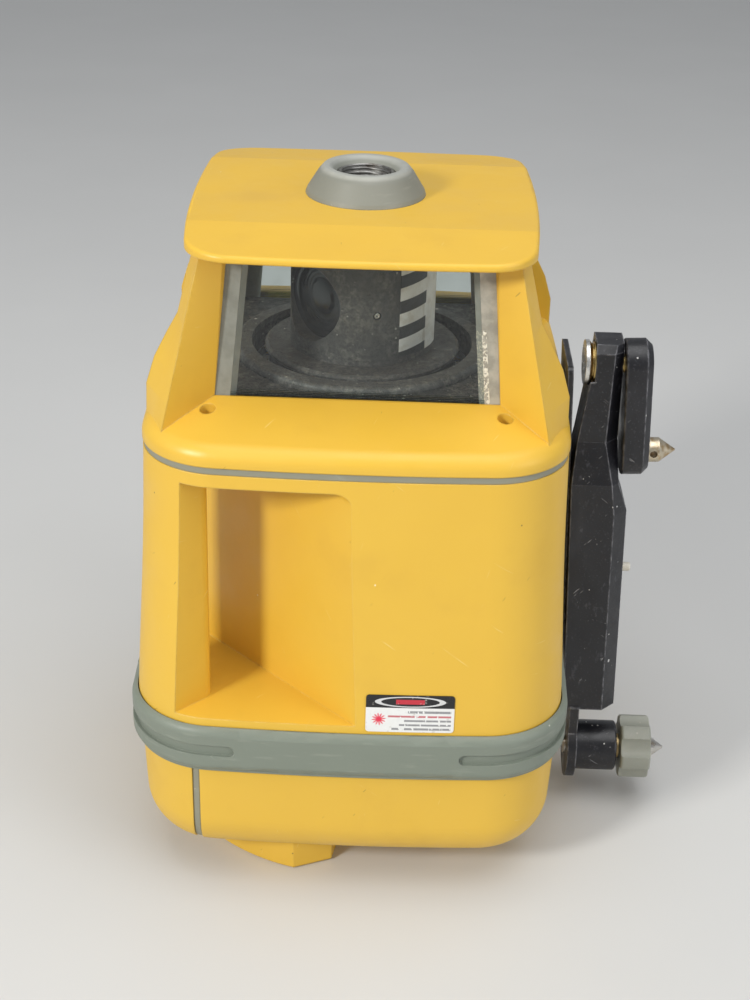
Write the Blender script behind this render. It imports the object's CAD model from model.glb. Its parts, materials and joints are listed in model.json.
"""Rotating laser level: finishes, fine detail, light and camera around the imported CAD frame.

Lengths are millimetres in the CAD frame unless a comment says metres; MM turns them into metres.
"""
import bmesh
import bpy
import json
import math
from mathutils import Matrix, Vector


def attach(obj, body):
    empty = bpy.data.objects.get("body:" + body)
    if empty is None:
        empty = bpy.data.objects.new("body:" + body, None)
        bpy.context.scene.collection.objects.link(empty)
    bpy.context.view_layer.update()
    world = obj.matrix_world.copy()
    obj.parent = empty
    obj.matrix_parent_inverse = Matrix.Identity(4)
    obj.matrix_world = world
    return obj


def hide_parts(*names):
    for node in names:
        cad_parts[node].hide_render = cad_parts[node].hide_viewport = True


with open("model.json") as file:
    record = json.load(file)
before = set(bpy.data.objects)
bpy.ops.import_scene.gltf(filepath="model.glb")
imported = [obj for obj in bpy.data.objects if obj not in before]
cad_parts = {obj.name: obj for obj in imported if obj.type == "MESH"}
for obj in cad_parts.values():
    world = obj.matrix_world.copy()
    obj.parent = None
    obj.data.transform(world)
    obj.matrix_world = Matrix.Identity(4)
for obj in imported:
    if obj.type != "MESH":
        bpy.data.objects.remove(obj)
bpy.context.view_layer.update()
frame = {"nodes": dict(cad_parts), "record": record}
MM = 0.001
FULL_TURN = 2 * math.pi


# ---------------------------------------------------------------- camera and light
CAMERA_PLACE = Vector((14.5, -670.0, 485.4))
CAMERA_PITCH = math.radians(27.044)
CAMERA_YAW = math.radians(-0.597)
CAMERA_ROLL = math.radians(1.744)
FOCAL_PIXELS = 1700.0
IMAGE_HEIGHT = 1000.0
SENSOR = 36.0

LIGHT_AIM = Vector((0, 0, 0.15))  # metres
SKY_COLOUR = (0.93, 0.96, 1.0, 1)
SKY_STRENGTH = 0.36
# name, place and size in metres, power in watts, colour
LIGHTS = (
    ("key", (-1.10, -1.18, 0.98), 0.28, 20.5, (1.0, 0.985, 0.95)),
    ("overhead", (0.2, -0.35, 1.7), 1.4, 15.5, (1.0, 1.0, 1.0)),
    ("fill", (1.5, -1.1, 0.8), 1.0, 9.0, (0.97, 0.98, 1.0)),
)


def camera_turn():
    """The camera's rotation: right, up and backward axes as columns."""
    sine, cosine = math.sin(CAMERA_PITCH), math.cos(CAMERA_PITCH)
    level = Matrix(((1, 0, 0), (0, -sine, -cosine), (0, cosine, -sine)))
    seen = Matrix.Rotation(CAMERA_ROLL, 3, "Z") @ level @ Matrix.Rotation(CAMERA_YAW, 3, "Z")
    right, down, ahead = seen[0], seen[1], seen[2]
    return Matrix((right, -down, -ahead)).transposed()


def add_camera():
    """The camera that the photograph was solved to, in the upright 3 by 4 picture."""
    data = bpy.data.cameras.new("camera")
    data.sensor_fit = "VERTICAL"
    data.sensor_height = SENSOR
    data.lens = SENSOR * FOCAL_PIXELS / IMAGE_HEIGHT
    camera = bpy.data.objects.new("camera", data)
    camera.matrix_world = Matrix.Translation(CAMERA_PLACE * MM) @ camera_turn().to_4x4()
    bpy.context.scene.collection.objects.link(camera)
    bpy.context.scene.camera = camera


def softbox(name, place, size, power, colour):
    """A square area light at a place in metres, aimed at the middle of the object."""
    data = bpy.data.lights.new(name, "AREA")
    data.shape = "SQUARE"
    data.size = size
    data.energy = power
    data.color = colour
    light = bpy.data.objects.new(name, data)
    aim = LIGHT_AIM - Vector(place)
    light.matrix_world = (Matrix.Translation(place)
                          @ aim.to_track_quat("-Z", "Y").to_matrix().to_4x4())
    bpy.context.scene.collection.objects.link(light)


def add_light():
    """A dim sky and three softboxes."""
    world = bpy.data.worlds.new("studio")
    world.use_nodes = True
    sky = world.node_tree.nodes["Background"]
    sky.inputs["Color"].default_value = SKY_COLOUR
    sky.inputs["Strength"].default_value = SKY_STRENGTH
    bpy.context.scene.world = world
    for light in LIGHTS:
        softbox(*light)
    bpy.context.scene.view_settings.view_transform = "Standard"
    bpy.context.scene.view_settings.look = "None"


# ---------------------------------------------------------------- materials
BEVEL_SAMPLES = 4


class Finish:
    """A procedural material on one Principled shader. Most calls add nodes and return a socket.

    Patterns read the object's own coordinates in millimetres.
    """

    def __init__(self, name, **settings):
        self.material = bpy.data.materials.new(name)
        self.material.use_nodes = True
        self.tree = self.material.node_tree
        self.shader = self.tree.nodes["Principled BSDF"]
        for socket, value in settings.items():
            self.shader.inputs[socket.replace("_", " ")].default_value = value
        place = self.node("ShaderNodeTexCoord").outputs["Object"]
        scale = self.node("ShaderNodeVectorMath", operation="SCALE")
        self.link(place, scale.inputs[0])
        scale.inputs["Scale"].default_value = 1 / MM
        self.place = scale.outputs[0]

    def node(self, kind, **settings):
        made = self.tree.nodes.new(kind)
        for name, value in settings.items():
            setattr(made, name, value)
        return made

    def link(self, source, target):
        self.tree.links.new(source, target)

    def feed(self, target, value):
        """Link a socket to an input, or set the input to a plain value."""
        if isinstance(value, bpy.types.NodeSocket):
            self.link(value, target)
        elif isinstance(value, tuple) and len(value) == 3 and target.type == "RGBA":
            target.default_value = value + (1,)
        else:
            target.default_value = value

    def math(self, operation, first, second=0.0, third=0.0):
        made = self.node("ShaderNodeMath", operation=operation)
        for socket, value in zip(made.inputs[:3], (first, second, third)):
            self.feed(socket, value)
        return made.outputs[0]

    def stretched(self, x, y, z):
        """The coordinates squeezed by a factor along each axis."""
        made = self.node("ShaderNodeVectorMath", operation="MULTIPLY")
        self.link(self.place, made.inputs[0])
        made.inputs[1].default_value = (x, y, z)
        return made.outputs[0]

    def noise(self, grain, detail=3.0, place=None, roughness=0.55):
        """Soft noise whose features are about a grain wide, in millimetres."""
        made = self.node("ShaderNodeTexNoise")
        made.inputs["Scale"].default_value = 1.0 / grain
        made.inputs["Detail"].default_value = detail
        made.inputs["Roughness"].default_value = roughness
        self.link(place or self.place, made.inputs["Vector"])
        return made.outputs["Fac"]

    def between(self, value, low, high, to_low=0.0, to_high=1.0):
        """A value mapped smoothly from one range to another."""
        made = self.node("ShaderNodeMapRange", interpolation_type="SMOOTHSTEP")
        for socket, number in zip(made.inputs[:5], (value, low, high, to_low, to_high)):
            self.feed(socket, number)
        return made.outputs[0]

    def mix(self, share, first, second):
        """Two colours mixed: all of the first at share 0 and all of the second at share 1."""
        made = self.node("ShaderNodeMix", data_type="RGBA")
        self.feed(made.inputs["Factor"], share)
        self.feed(made.inputs[6], first)
        self.feed(made.inputs[7], second)
        return made.outputs[2]

    def parts(self):
        """The X, Y and Z of the coordinates."""
        made = self.node("ShaderNodeSeparateXYZ")
        self.link(self.place, made.inputs[0])
        return made.outputs[:3]

    def specks(self, spacing, radius, share, place=None):
        """A mask of small dots: one in some cells, each of its own size."""
        cells = self.node("ShaderNodeTexVoronoi")
        cells.inputs["Scale"].default_value = 1.0 / spacing
        self.link(place or self.place, cells.inputs["Vector"])
        chance = self.node("ShaderNodeSeparateColor")
        self.link(cells.outputs["Color"], chance.inputs[0])
        reach = self.math("MULTIPLY", chance.outputs[1], radius / spacing)
        dot = self.math("LESS_THAN", cells.outputs["Distance"], reach)
        return self.math("MULTIPLY", dot, self.math("GREATER_THAN", chance.outputs[0], 1 - share))

    def scratches(self, length, width, share, turn=(0.7, 0.5, 0.3)):
        """A mask of straight hairlines: peaks of a noise drawn out along one slanting direction."""
        drawn = self.node("ShaderNodeMapping", vector_type="TEXTURE")
        self.link(self.place, drawn.inputs["Vector"])
        drawn.inputs["Rotation"].default_value = turn
        drawn.inputs["Scale"].default_value = (length, length * 0.5, width * 2)
        field = self.noise(1.0, 1.0, drawn.outputs[0])
        patch = self.between(self.noise(length * 0.8, 2.0), 0.48, 0.60)
        return self.math("MULTIPLY", self.between(field, 1 - share, 1.02 - share), patch)

    def near(self, value, middle, half):
        """A mask that is one where a value is within half of the middle."""
        return self.math("COMPARE", value, middle, third=half)

    def box(self, across, up, middle, half):
        """A mask of a rectangle, from its middle and its half sizes."""
        return self.math("MULTIPLY", self.near(across, middle[0], half[0]),
                         self.near(up, middle[1], half[1]))

    def reach(self, across, up, middle, shape=(1.0, 1.0)):
        """The distance from a point, measured in units of shape along each axis."""
        along = self.math("DIVIDE", self.math("SUBTRACT", across, middle[0]), shape[0])
        rise = self.math("DIVIDE", self.math("SUBTRACT", up, middle[1]), shape[1])
        return self.math("SQRT", self.math("ADD", self.math("MULTIPLY", along, along),
                                           self.math("MULTIPLY", rise, rise)))

    def edges(self, radius, low=0.02, high=0.25):
        """A mask of the object's worn outer and inner edges."""
        soft = self.node("ShaderNodeBevel", samples=BEVEL_SAMPLES)
        soft.inputs["Radius"].default_value = radius * MM
        sharp = self.node("ShaderNodeNewGeometry")
        angle = self.node("ShaderNodeVectorMath", operation="DOT_PRODUCT")
        self.link(soft.outputs[0], angle.inputs[0])
        self.link(sharp.outputs["Normal"], angle.inputs[1])
        return self.between(self.math("SUBTRACT", 1.0, angle.outputs["Value"]), low, high)

    def bump(self, *layers, rounding=0.0):
        """Stack bumps, each a height and its depth in millimetres, over rounded edges."""
        normal = None
        if rounding:
            soft = self.node("ShaderNodeBevel", samples=BEVEL_SAMPLES)
            soft.inputs["Radius"].default_value = rounding * MM
            normal = soft.outputs[0]
        for height, depth in layers:
            made = self.node("ShaderNodeBump")
            made.inputs["Distance"].default_value = depth * MM
            self.feed(made.inputs["Height"], height)
            if normal:
                self.link(normal, made.inputs["Normal"])
            normal = made.outputs[0]
        self.link(normal, self.shader.inputs["Normal"])

    def done(self, colour=None, roughness=None):
        """Set the base colour and the roughness, and return the material."""
        if colour is not None:
            self.feed(self.shader.inputs["Base Color"], colour)
        if roughness is not None:
            self.feed(self.shader.inputs["Roughness"], roughness)
        return self.material


def housing_yellow():
    """Satin moulded plastic: faint flow marks, hairlines, specks, grime and paler rubbed edges."""
    f = Finish("housing_yellow")
    tone = f.mix(f.noise(55), (0.725, 0.440, 0.042), (0.770, 0.488, 0.054))
    tone = f.mix(f.math("MULTIPLY", f.noise(6, 5), 0.35), tone, (0.72, 0.43, 0.055))
    grime = f.between(f.noise(38, 7), 0.52, 0.74, 0, 0.18)
    tone = f.mix(grime, tone, (0.56, 0.31, 0.040))
    worn = f.math("MULTIPLY", f.edges(0.9), f.between(f.noise(9, 4), 0.42, 0.62, 0.08, 0.65))
    tone = f.mix(worn, tone, (0.86, 0.66, 0.22))
    lines = f.math("MAXIMUM", f.scratches(26, 0.32, 0.24),
                   f.scratches(18, 0.26, 0.23, (1.9, -0.6, 1.1)))
    tone = f.mix(f.math("MULTIPLY", lines, 0.40), tone, (0.88, 0.72, 0.30))
    scrapes = f.scratches(11, 0.5, 0.215, (-0.9, 0.4, 2.0))
    tone = f.mix(f.math("MULTIPLY", scrapes, 0.55), tone, (0.30, 0.17, 0.03))
    tone = f.mix(f.math("MULTIPLY", f.specks(11, 0.50, 0.20), 0.75), tone, (0.20, 0.11, 0.02))
    tone = f.mix(f.math("MULTIPLY", f.specks(13, 0.55, 0.15, f.stretched(1.3, 1, 0.8)), 0.85),
                 tone, (0.90, 0.85, 0.60))
    rough = f.between(f.noise(18, 4), 0.3, 0.7, 0.36, 0.50)
    f.bump((f.noise(0.9, 2), 0.012), (f.noise(34, 1), 0.35), (lines, -0.02), rounding=0.9)
    return f.done(tone, rough)


def trim_grey(name="trim_grey", colour=(0.185, 0.210, 0.170), worn_colour=(0.37, 0.39, 0.32),
              rim=None):
    """Grey-green rubber with scuffs and a fine matte grain; rim is a height where it is rubbed."""
    f = Finish(name)
    tone = f.mix(f.noise(30, 4), colour, tuple(c * 1.14 for c in colour))
    scuffs = f.between(f.noise(5, 6, f.stretched(0.25, 0.25, 1.6)), 0.56, 0.70, 0, 0.20)
    tone = f.mix(scuffs, tone, worn_colour)
    worn = f.math("MULTIPLY", f.edges(0.8), f.between(f.noise(7, 4), 0.45, 0.65, 0.1, 0.6))
    tone = f.mix(worn, tone, worn_colour)
    if rim:
        rubbed = f.between(f.parts()[2], rim - 1.6, rim - 0.2, 0, 0.75)
        patchy = f.between(f.noise(4, 5), 0.2, 0.6, 0.7, 1.0)
        tone = f.mix(f.math("MULTIPLY", rubbed, patchy), tone, (0.40, 0.405, 0.37))
    lines = f.scratches(16, 0.35, 0.24)
    tone = f.mix(f.math("MULTIPLY", lines, 0.5), tone, worn_colour)
    tone = f.mix(f.math("MULTIPLY", f.specks(7, 0.45, 0.18), 0.7), tone, (0.66, 0.65, 0.56))
    tone = f.mix(f.math("MULTIPLY", f.specks(9, 0.40, 0.12), 0.6), tone, (0.05, 0.05, 0.04))
    f.bump((f.noise(0.5, 3), 0.02), (f.noise(12, 3), 0.10), rounding=0.6)
    return f.done(tone, f.between(f.noise(9, 4), 0.3, 0.7, 0.42, 0.60))


def seal_grey():
    """Window seal: grey, lighter on its right-hand corners, with crumbs of old sealant."""
    f = Finish("seal_grey")
    x, _, z = f.parts()
    right = f.between(x, -5.0, 5.0)
    tone = f.mix(right, (0.240, 0.250, 0.220), (0.44, 0.425, 0.370))
    tone = f.mix(f.between(f.noise(6, 5), 0.40, 0.70, 0, 0.5), tone, (0.155, 0.155, 0.130))
    edge = f.math("ADD", x, f.math("MULTIPLY", f.math("SUBTRACT", z, 216.0), 0.10))
    strip = f.math("MULTIPLY", f.near(edge, 51.0, 1.1), f.math("LESS_THAN", z, 247.0))
    crumbs = f.math("MULTIPLY", strip, f.between(f.noise(1.1, 3), 0.48, 0.53))
    tone = f.mix(crumbs, tone, (0.78, 0.76, 0.66))
    f.bump((f.noise(1.2, 3), 0.05), (crumbs, 0.25))
    return f.done(tone, f.between(f.noise(5, 4), 0.3, 0.7, 0.35, 0.6))


def bracket_black():
    """Black painted casting: cast grain, chipped edges, pale chips and hairlines."""
    f = Finish("bracket_black")
    tone = f.mix(f.noise(22, 4), (0.0065, 0.0065, 0.0085), (0.014, 0.014, 0.018))
    haze = f.between(f.noise(14, 6, f.stretched(1, 1, 0.35)), 0.50, 0.75, 0, 0.30)
    tone = f.mix(haze, tone, (0.045, 0.045, 0.052))
    worn = f.math("MULTIPLY", f.edges(1.0, 0.006, 0.06),
                  f.between(f.noise(4, 6), 0.38, 0.60, 0.15, 1.0))
    tone = f.mix(worn, tone, (0.26, 0.26, 0.28))
    rubbed = f.between(f.noise(3, 8, f.stretched(1, 1, 0.5), 0.7), 0.58, 0.70, 0, 0.5)
    tone = f.mix(rubbed, tone, (0.085, 0.085, 0.10))
    sparkle = f.between(f.noise(0.8, 2), 0.62, 0.72, 0, 0.5)
    tone = f.mix(sparkle, tone, (0.085, 0.085, 0.095))
    chips = f.math("MAXIMUM", f.specks(5.5, 0.75, 0.26, f.stretched(1, 1, 0.7)),
                   f.specks(2.6, 0.42, 0.20))
    tone = f.mix(f.math("MULTIPLY", chips, 0.9), tone, (0.62, 0.62, 0.60))
    lines = f.math("MAXIMUM", f.scratches(14, 0.32, 0.255),
                   f.scratches(9, 0.3, 0.25, (2.1, -0.5, 0.4)))
    tone = f.mix(f.math("MULTIPLY", lines, 0.65), tone, (0.42, 0.42, 0.43))
    f.bump((f.noise(0.8, 4), 0.04), (f.noise(9, 2), 0.12), rounding=0.55)
    return f.done(tone, f.between(f.noise(8, 5), 0.3, 0.7, 0.28, 0.46))


def metal(name, colour, stain, grain=(1, 1, 1), rough=(0.22, 0.42), stained=(0.5, 0.75)):
    """Machined or plated metal: fine turning marks, darker stains and bright edges."""
    f = Finish(name, Metallic=1.0)
    marks = f.noise(0.6, 3, f.stretched(*grain))
    tone = f.mix(f.math("MULTIPLY", marks, 0.5), colour, tuple(c * 0.72 for c in colour))
    tone = f.mix(f.between(f.noise(4, 5), stained[0], stained[1], 0, 0.8), tone, stain)
    bright = tuple(min(1, c * 1.3) for c in colour)
    tone = f.mix(f.math("MULTIPLY", f.edges(0.3), 0.5), tone, bright)
    f.bump((marks, 0.012), (f.noise(5, 2), 0.02), rounding=0.2)
    return f.done(tone, f.between(f.noise(3, 4), 0.3, 0.7, *rough))


PIVOT_CENTRE = (-7.0, 215.5)  # Y and Z of the leg pivot
PIVOT_RIM = 95.2


def pivot_metal():
    """Bright pivot bolt: steel in the middle, gold passivated rim, stained by use."""
    f = Finish("pivot_metal", Metallic=1.0)
    x, y, z = f.parts()
    out = f.reach(y, z, PIVOT_CENTRE)
    gold = f.between(x, PIVOT_RIM, PIVOT_RIM + 0.4)
    tone = f.mix(gold, (0.74, 0.73, 0.70), (0.50, 0.37, 0.15))
    tone = f.mix(f.between(f.noise(2.4, 5), 0.52, 0.70, 0, 0.7), tone, (0.20, 0.16, 0.10))
    rings = f.math("SINE", f.math("MULTIPLY", out, 9.0))
    f.bump((rings, 0.02), (f.noise(3, 2), 0.03), rounding=0.3)
    return f.done(tone, f.between(f.noise(2, 4), 0.3, 0.7, 0.24, 0.45))


def bracket_bolt():
    """Blackened mounting screws, and the pale stop pin that stands out of the casting."""
    f = Finish("bracket_bolt")
    x, _, z = f.parts()
    tone = f.mix(f.noise(3, 4), (0.035, 0.035, 0.038), (0.075, 0.073, 0.070))
    cream = f.mix(f.noise(1.6, 4), (0.60, 0.56, 0.47), (0.74, 0.71, 0.62))
    pin = f.math("MULTIPLY", f.math("GREATER_THAN", x, 110.0), f.near(z, 121.0, 2.6))
    tone = f.mix(pin, tone, cream)
    f.bump((f.noise(0.8, 3), 0.03), rounding=0.3)
    return f.done(tone, f.between(f.noise(3, 4), 0.3, 0.7, 0.35, 0.55))


def dusty_screw():
    """Recessed screw head choked with tan dust."""
    f = Finish("dusty_screw")
    tone = f.mix(f.noise(1.3, 4), (0.42, 0.27, 0.12), (0.58, 0.42, 0.24))
    tone = f.mix(f.between(f.noise(0.7, 3), 0.5, 0.62, 0, 0.8), tone, (0.20, 0.13, 0.07))
    f.bump((f.noise(0.8, 3), 0.15))
    return f.done(tone, 0.72)


def plastic(name, low, high, rough=(0.4, 0.6), dust=0.0, grain=0.35, depth=0.006, ring=None):
    """Moulded plastic with a fine grain, slight mottling and dust, paler above the ring height."""
    f = Finish(name)
    tone = f.mix(f.noise(12, 4), low, high)
    if ring:
        lifted = f.between(f.parts()[2], ring, ring + 0.8, 0, 0.35)
        tone = f.mix(lifted, tone, (0.16, 0.155, 0.15))
    if dust:
        veil = f.between(f.noise(14, 5), 0.35, 0.62, 0.30, 1.0)
        fine = f.math("ADD", f.between(f.noise(1.4, 6, roughness=0.85), 0.46, 0.62, 0, 0.65),
                      f.between(f.noise(3.6, 4), 0.50, 0.60, 0, 0.35))
        tone = f.mix(f.math("MULTIPLY", f.math("MULTIPLY", fine, veil), dust), tone,
                     (0.42, 0.38, 0.335))
        tone = f.mix(f.math("MULTIPLY", f.specks(2.4, 0.55, 0.30), 0.60), tone, (0.48, 0.45, 0.40))
        tone = f.mix(f.math("MULTIPLY", f.specks(6.5, 0.80, 0.24), 0.9), tone, (0.74, 0.70, 0.62))
    worn = f.math("MULTIPLY", f.edges(0.5), f.between(f.noise(4, 4), 0.4, 0.65, 0.05, 0.5))
    tone = f.mix(worn, tone, tuple(min(1, c * 2.2 + 0.03) for c in high))
    f.bump((f.noise(grain, 3), depth), rounding=0.3)
    return f.done(tone, f.between(f.noise(6, 4), 0.3, 0.7, *rough))


def window_glass():
    """Clear pane: it passes most light, mirrors more at a slant, and is green along its cut edges."""
    f = Finish("window_glass")
    facing = f.node("ShaderNodeLayerWeight")
    facing.inputs["Blend"].default_value = 0.5
    mirror = f.math("MULTIPLY_ADD", f.math("POWER", facing.outputs["Facing"], 4.0), 0.55, 0.035)
    normal = f.node("ShaderNodeSeparateXYZ")
    f.link(f.node("ShaderNodeNewGeometry").outputs["Normal"], normal.inputs[0])
    upward = f.math("ABSOLUTE", normal.outputs[2])
    across = f.math("ABSOLUTE", f.math("MULTIPLY", normal.outputs[0], normal.outputs[1]))
    rim = f.math("GREATER_THAN", f.math("MAXIMUM", upward, f.math("MULTIPLY", across, 2.0)), 0.35)
    height = f.parts()[2]
    dust = f.between(f.noise(9, 6), 0.45, 0.75, 0.0, 0.10)
    tint = f.mix(dust, (0.93, 0.955, 0.945), (0.62, 0.62, 0.58))
    foot = f.math("MULTIPLY", f.between(height, 219.6, 218.4), 0.8)
    lines = f.math("GREATER_THAN", f.math("SINE", f.math("MULTIPLY", height, 9.0)), -0.2)
    tint = f.mix(f.math("MULTIPLY", foot, lines), tint, (0.20, 0.30, 0.25))
    clear = f.node("ShaderNodeBsdfTransparent")
    f.feed(clear.inputs[0], tint)
    gloss = f.node("ShaderNodeBsdfGlossy")
    gloss.inputs["Roughness"].default_value = 0.03
    pane = f.node("ShaderNodeMixShader")
    f.link(mirror, pane.inputs[0])
    f.link(clear.outputs[0], pane.inputs[1])
    f.link(gloss.outputs[0], pane.inputs[2])
    green = f.mix(f.noise(3, 4), (0.010, 0.022, 0.018), (0.035, 0.060, 0.050))
    pale = f.mix(f.noise(4, 4), (0.20, 0.215, 0.195), (0.34, 0.345, 0.315))
    x, _, z = f.parts()
    low = f.math("MULTIPLY", f.math("GREATER_THAN", x, 0.0), f.math("LESS_THAN", z, 246.0))
    crumbs = f.math("MULTIPLY", f.between(f.noise(0.9, 5, roughness=0.7), 0.50, 0.56, 0, 0.8), low)
    pale = f.mix(crumbs, pale, (0.66, 0.62, 0.50))
    f.done(f.mix(f.math("GREATER_THAN", upward, 0.35), pale, green), 0.3)
    both = f.node("ShaderNodeMixShader")
    f.link(rim, both.inputs[0])
    f.link(pane.outputs[0], both.inputs[1])
    f.link(f.shader.outputs[0], both.inputs[2])
    f.link(both.outputs[0], f.tree.nodes["Material Output"].inputs["Surface"])
    return f.material


LABEL_RADIUS = 30.3  # of the film on the rotor


def code_label():
    """Striped film on the rotor: white bars that rise round it on black, and a white upright bar."""
    f = Finish("code_label")
    x, y, z = f.parts()
    turn = f.math("ARCTAN2", x, f.math("MULTIPLY", y, -1.0))
    along = f.math("MULTIPLY", turn, LABEL_RADIUS)
    level = f.math("SUBTRACT", z, f.math("MULTIPLY", f.math("SUBTRACT", along, 16.7), 0.12))
    phase = f.math("FRACT", f.math("DIVIDE", f.math("SUBTRACT", level, 224.6), 10.9))
    bars = f.math("MULTIPLY", f.math("LESS_THAN", phase, 0.51), f.math("GREATER_THAN", level, 224.0))
    upright = f.math("MULTIPLY", f.math("GREATER_THAN", along, 31.0),
                     f.math("GREATER_THAN", z, 221.4))
    white = f.math("MAXIMUM", bars, upright)
    pale = f.mix(f.between(f.noise(6, 5), 0.35, 0.55), (0.72, 0.67, 0.61), (0.86, 0.83, 0.80))
    smear = f.between(f.noise(5, 4, f.stretched(1, 1, 0.15)), 0.60, 0.68, 0, 0.45)
    pale = f.mix(smear, pale, (0.40, 0.33, 0.24))
    dark = f.mix(f.noise(3, 5), (0.022, 0.022, 0.024), (0.050, 0.050, 0.052))
    tone = f.mix(white, dark, pale)
    f.bump((f.noise(1.2, 3), 0.01))
    return f.done(tone, f.between(f.noise(5, 4), 0.3, 0.7, 0.30, 0.50))


# height of each row of print, where it starts along X, and half its thickness
PRINT_ROWS = ((97.7, 24.4, 0.55), (95.6, 16.4, 0.45), (93.6, 23.0, 0.45), (91.6, 21.0, 0.45),
              (89.7, 18.0, 0.50))
RED_ROW = 1
PRINT_END = 42.0
BURST_CENTRE = (12.7, 94.2)
HEADING_CENTRE = (25.3, 102.4)
HEADING_FOOT = 99.6


def safety_label():
    """White film with a dark heading, a ringed red bar, a red burst and rows of print."""
    f = Finish("safety_label")
    x, _, z = f.parts()
    tone = f.mix(f.noise(3, 4), (0.74, 0.74, 0.72), (0.82, 0.82, 0.80))
    broken = f.math("GREATER_THAN", f.noise(1.3, 2, f.stretched(1, 0.2, 0.25)), 0.40)
    for k, (height, start, half) in enumerate(PRINT_ROWS):
        bar = f.box(x, z, ((start + PRINT_END) / 2, height), ((PRINT_END - start) / 2, half))
        ink = (0.50, 0.07, 0.09) if k == RED_ROW else (0.20, 0.20, 0.21)
        tone = f.mix(f.math("MULTIPLY", f.math("MULTIPLY", bar, broken), 0.85), tone, ink)
    angle = f.math("ARCTAN2", f.math("SUBTRACT", z, BURST_CENTRE[1]),
                   f.math("SUBTRACT", x, BURST_CENTRE[0]))
    rays = f.math("MULTIPLY_ADD", f.math("SINE", f.math("MULTIPLY", angle, 12.0)), 0.9, 2.0)
    burst = f.math("LESS_THAN", f.reach(x, z, BURST_CENTRE), rays)
    tone = f.mix(burst, tone, (0.72, 0.04, 0.08))
    tone = f.mix(f.math("GREATER_THAN", z, HEADING_FOOT), tone, (0.012, 0.012, 0.014))
    oval = f.reach(x, z, HEADING_CENTRE, (14.2, 2.45))
    tone = f.mix(f.near(oval, 0.92, 0.09), tone, (0.62, 0.62, 0.62))
    tone = f.mix(f.box(x, z, HEADING_CENTRE, (5.8, 1.05)), tone, (0.52, 0.03, 0.05))
    worn = f.between(f.noise(2.2, 5), 0.62, 0.70, 0, 0.6)
    tone = f.mix(worn, tone, (0.55, 0.53, 0.48))
    f.bump((f.noise(2.0, 3), 0.012))
    return f.done(tone, f.between(f.noise(5, 4), 0.3, 0.7, 0.25, 0.42))


KEY_HEIGHT = 147.0


def key_print(name, middle, kind):
    """Rubber key with one pale printed sign: a ring, arrows or a triangle."""
    f = Finish(name)
    x, _, z = f.parts()
    tone = f.mix(f.noise(4, 4), (0.15, 0.16, 0.14), (0.20, 0.21, 0.19))
    if kind == "ring":
        sign = f.math("MAXIMUM", f.near(f.reach(x, z, middle), 2.6, 0.35),
                      f.box(x, z, (middle[0], middle[1] + 2.4), (0.35, 1.3)))
    else:
        starts = (-1.6, 0.8) if kind == "arrows" else (-1.2,)
        sign = 0.0
        for start in starts:
            inward = f.math("SUBTRACT", x, middle[0] + start)
            fall = f.math("ABSOLUTE", f.math("SUBTRACT", z, middle[1]))
            inside = f.math("LESS_THAN", f.math("ADD", fall, f.math("MULTIPLY", inward, 0.8)), 2.0)
            inside = f.math("MULTIPLY", inside, f.math("GREATER_THAN", inward, 0.0))
            sign = f.math("MAXIMUM", sign, inside)
    tone = f.mix(sign, tone, (0.66, 0.66, 0.62))
    f.bump((f.noise(0.5, 3), 0.02), rounding=0.6)
    return f.done(tone, f.between(f.noise(6, 4), 0.3, 0.7, 0.5, 0.68))


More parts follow.
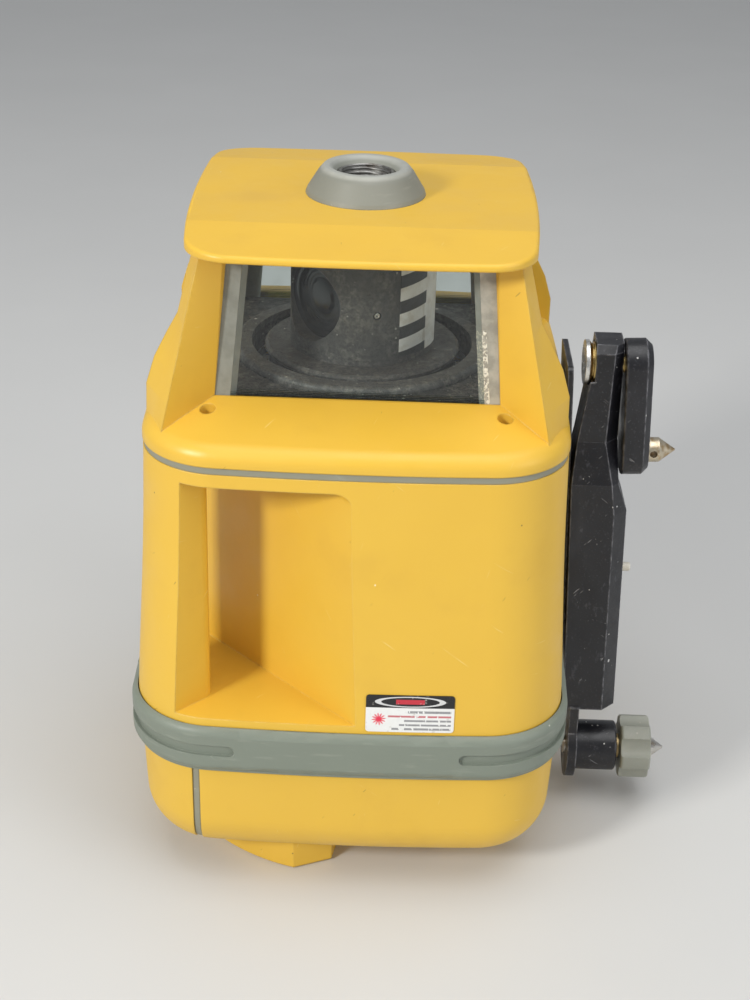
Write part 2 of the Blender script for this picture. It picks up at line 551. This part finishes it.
# how each finish is made, by its name
FINISHES = {
    "housing_yellow": housing_yellow,
    "trim_grey": trim_grey,
    "collar_grey": lambda: trim_grey("collar_grey", (0.205, 0.210, 0.180), (0.42, 0.42, 0.36),
                                     rim=294.0),
    "seal_grey": seal_grey,
    "safety_label": safety_label,
    "pivot_metal": pivot_metal,
    "dusty_screw": dusty_screw,
    "thread_steel": lambda: metal("thread_steel", (0.34, 0.335, 0.32), (0.12, 0.10, 0.08),
                                  rough=(0.34, 0.55), stained=(0.45, 0.65)),
    "gasket_grey": lambda: trim_grey("gasket_grey", (0.250, 0.245, 0.185), (0.40, 0.40, 0.32)),
    "bracket_bolt": bracket_bolt,
    "spike_tan": lambda: metal("spike_tan", (0.66, 0.58, 0.44), (0.42, 0.27, 0.12),
                               rough=(0.30, 0.5), stained=(0.42, 0.62)),
    "power_key": lambda: key_print("power_key", (-25.5, KEY_HEIGHT), "ring"),
    "speed_key": lambda: key_print("speed_key", (0.0, KEY_HEIGHT), "arrows"),
    "manual_key": lambda: key_print("manual_key", (25.5, KEY_HEIGHT), "triangle"),
    "bracket_black": bracket_black,
    "clear_glass": window_glass,
    "insert_steel": lambda: metal("insert_steel", (0.62, 0.60, 0.56), (0.35, 0.25, 0.14)),
    "insert_brass": lambda: metal("insert_brass", (0.62, 0.47, 0.24), (0.30, 0.20, 0.09)),
    "frame_alloy": lambda: metal("frame_alloy", (0.60, 0.61, 0.63), (0.40, 0.40, 0.40)),
    "motor_metal": lambda: metal("motor_metal", (0.52, 0.52, 0.53), (0.30, 0.29, 0.28)),
    "dark_interior": lambda: plastic("dark_interior", (0.013, 0.012, 0.012), (0.030, 0.028, 0.027),
                                     dust=0.50, ring=216.4),
    "rotor_dark": lambda: plastic("rotor_dark", (0.040, 0.037, 0.037), (0.068, 0.063, 0.062),
                                  dust=0.34),
    "aperture_black": lambda: plastic("aperture_black", (0.003, 0.003, 0.006),
                                      (0.008, 0.008, 0.013), rough=(0.10, 0.20), grain=9.0,
                                      depth=0.001),
    "code_label": code_label,
    "panel_plastic": lambda: plastic("panel_plastic", (0.030, 0.030, 0.032), (0.045, 0.045, 0.048)),
    "lamp_lens": lambda: plastic("lamp_lens", (0.42, 0.03, 0.02), (0.55, 0.05, 0.03),
                                 rough=(0.08, 0.16), grain=3.0, depth=0.003),
    "board_green": lambda: plastic("board_green", (0.02, 0.10, 0.04), (0.03, 0.14, 0.05)),
    "pulley_plastic": lambda: plastic("pulley_plastic", (0.55, 0.53, 0.46), (0.65, 0.63, 0.56)),
    "belt_rubber": lambda: plastic("belt_rubber", (0.015, 0.015, 0.015), (0.03, 0.03, 0.03)),
    "tray_plastic": lambda: plastic("tray_plastic", (0.020, 0.020, 0.022), (0.035, 0.035, 0.037)),
    "cell_jacket": lambda: plastic("cell_jacket", (0.04, 0.08, 0.22), (0.06, 0.11, 0.28),
                                   rough=(0.2, 0.35), grain=3.0, depth=0.004),
    "knob_grey": lambda: plastic("knob_grey", (0.27, 0.28, 0.235), (0.36, 0.37, 0.315), dust=0.25,
                                 rough=(0.40, 0.55), grain=0.8, depth=0.02),
}
# nodes whose finish differs from that of their slot
OWN_FINISH = {
    "roof_collar": "collar_grey", "rotor_shell": "rotor_dark", "rotor_hub": "rotor_dark",
    "window_corner_seals": "seal_grey", "safety_label": "safety_label", "pivot_bolt": "pivot_metal",
    "housing_screws": "dusty_screw", "leg_spike": "spike_tan", "bracket_screws": "bracket_bolt",
    "seam_gasket": "gasket_grey", "cap_gasket": "gasket_grey",
    "power_button": "power_key", "speed_button": "speed_key", "manual_button": "manual_key",
}
made_materials = {}


def material(name):
    """The named finish, made the first time that it is asked for."""
    if name not in made_materials:
        made_materials[name] = FINISHES[name]()
    return made_materials[name]


def wear(thing, name):
    """Give an object one finish."""
    thing.data.materials.clear()
    thing.data.materials.append(material(name))


def dress_frame():
    """Every CAD node gets the finish of its slot, or its own."""
    for part in frame["record"]["subparts"]:
        node = part["node"]
        wear(frame["nodes"][node], OWN_FINISH.get(node, part["material_slot"]))


FLOOR_HALF = 6.0  # metres


def add_floor():
    """A pale sheet under the object."""
    mesh = bpy.data.meshes.new("floor")
    half = FLOOR_HALF
    mesh.from_pydata([(-half, -half, 0), (half, -half, 0), (half, half, 0), (-half, half, 0)], [],
                     [(0, 1, 2, 3)])
    floor = bpy.data.objects.new("floor", mesh)
    bpy.context.scene.collection.objects.link(floor)
    f = Finish("floor_paper")
    tone = f.mix(f.noise(160, 3), (0.60, 0.60, 0.59), (0.64, 0.64, 0.63))
    mesh.materials.append(f.done(tone, 0.7))


# ---------------------------------------------------------------- turned and threaded pieces
def mesh_piece(name, rings, closed=False):
    """Skin rings of points, in millimetres, into one object.

    Its two ends are capped, or joined to each other when it is closed.
    """
    made = bmesh.new()
    rows = [[made.verts.new(Vector(point) * MM) for point in ring] for ring in rings]
    pairs = list(zip(rows, rows[1:]))
    if closed:
        pairs.append((rows[-1], rows[0]))
    for below, above in pairs:
        for k in range(len(below)):
            after = (k + 1) % len(below)
            made.faces.new((below[k], below[after], above[after], above[k]))
    if not closed:
        made.faces.new(rows[0][::-1])
        made.faces.new(rows[-1])
    bmesh.ops.recalc_face_normals(made, faces=made.faces)
    mesh = bpy.data.meshes.new(name)
    made.to_mesh(mesh)
    made.free()
    piece = bpy.data.objects.new(name, mesh)
    bpy.context.scene.collection.objects.link(piece)
    return piece


THREAD_STEPS = 96      # points round a ring
THREAD_ROWS = 8        # rings to one pitch
THREAD_FADE = 0.6      # length over which a thread runs out


def threaded_tube(name, node, finish_name, profile, bore, low, high, pitch, depth):
    """A sleeve in place of a node: profile outside, and a helical thread down its bore."""
    angles = [FULL_TURN * k / THREAD_STEPS for k in range(THREAD_STEPS)]

    def ring(radius_at, height):
        return [(radius_at(a) * math.cos(a), radius_at(a) * math.sin(a), height) for a in angles]

    rings = [ring(lambda a, r=radius: r, height) for radius, height in profile]
    rows = int((high - low) / (pitch / THREAD_ROWS))
    for k in range(rows + 1):
        height = high - (high - low) * k / rows
        fade = min(1.0, min(height - low, high - height) / THREAD_FADE)

        def cut(a, z=height, share=fade):
            phase = (z / pitch - a / FULL_TURN) % 1.0
            return bore + depth * share * (1 - abs(2 * phase - 1))

        rings.append(ring(cut, height))
    piece = mesh_piece(name, rings, closed=True)
    wear(piece, finish_name)
    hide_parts(node)
    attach(piece, "housing")


def add_threads():
    """The thread in the roof collar and the thread under the base."""
    threaded_tube("collar_thread", "collar_thread_insert", "thread_steel",
                  [(10.0, 276.6), (14.0, 276.6), (14.0, 282.9), (11.85, 282.9), (11.85, 291.2),
                   (11.4, 291.8), (10.5, 292.2)], 10.0, 277.4, 291.7, 1.8, 0.9)
    threaded_tube("tripod_thread", "tripod_thread_insert", "insert_brass",
                  [(8.9, 0.0), (13.95, 0.0), (13.95, 22.0), (18.0, 22.0), (18.0, 25.0), (7.94, 25.0)],
                  7.94, 0.3, 24.7, 2.3, 0.9)


def turned_on_rotor(name, profile, azimuth, height, steps=64):
    """A turned piece facing out of the rotor at an azimuth; profile is radius and distance out."""
    aim = Vector((math.sin(math.radians(azimuth)), -math.cos(math.radians(azimuth)), 0))
    side = Vector((-aim.y, aim.x, 0))
    up = Vector((0, 0, 1))

    def ring(radius, along):
        middle = up * height + aim * along
        return [middle + (side * math.cos(t) + up * math.sin(t)) * radius
                for t in (FULL_TURN * k / steps for k in range(steps))]

    piece = mesh_piece(name, [ring(radius, along) for radius, along in profile])
    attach(piece, "rotor")
    return piece


def add_aperture():
    """Stepped black rings and a small domed lens in the rotor's aperture, and its set screw."""
    profile = [(13.25, 20.5), (13.25, 22.2), (12.4, 22.2), (12.1, 21.6), (11.0, 21.6), (10.7, 21.1),
               (9.4, 21.1), (9.1, 20.9), (7.9, 20.9), (7.6, 21.3), (6.2, 21.9), (3.5, 22.15),
               (0.8, 22.2)]
    piece = turned_on_rotor("aperture_rings", profile, -50.0, 243.0)
    wear(piece, "aperture_black")
    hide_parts("aperture_window")
    screw = turned_on_rotor("rotor_set_screw", [(1.25, 26.5), (1.25, 29.5), (1.1, 29.7), (0.6, 29.7),
                                                (0.6, 28.6)], 12.5, 241.0, 12)
    wear(screw, "insert_steel")


add_camera()
add_light()
dress_frame()
add_threads()
add_aperture()
add_floor()
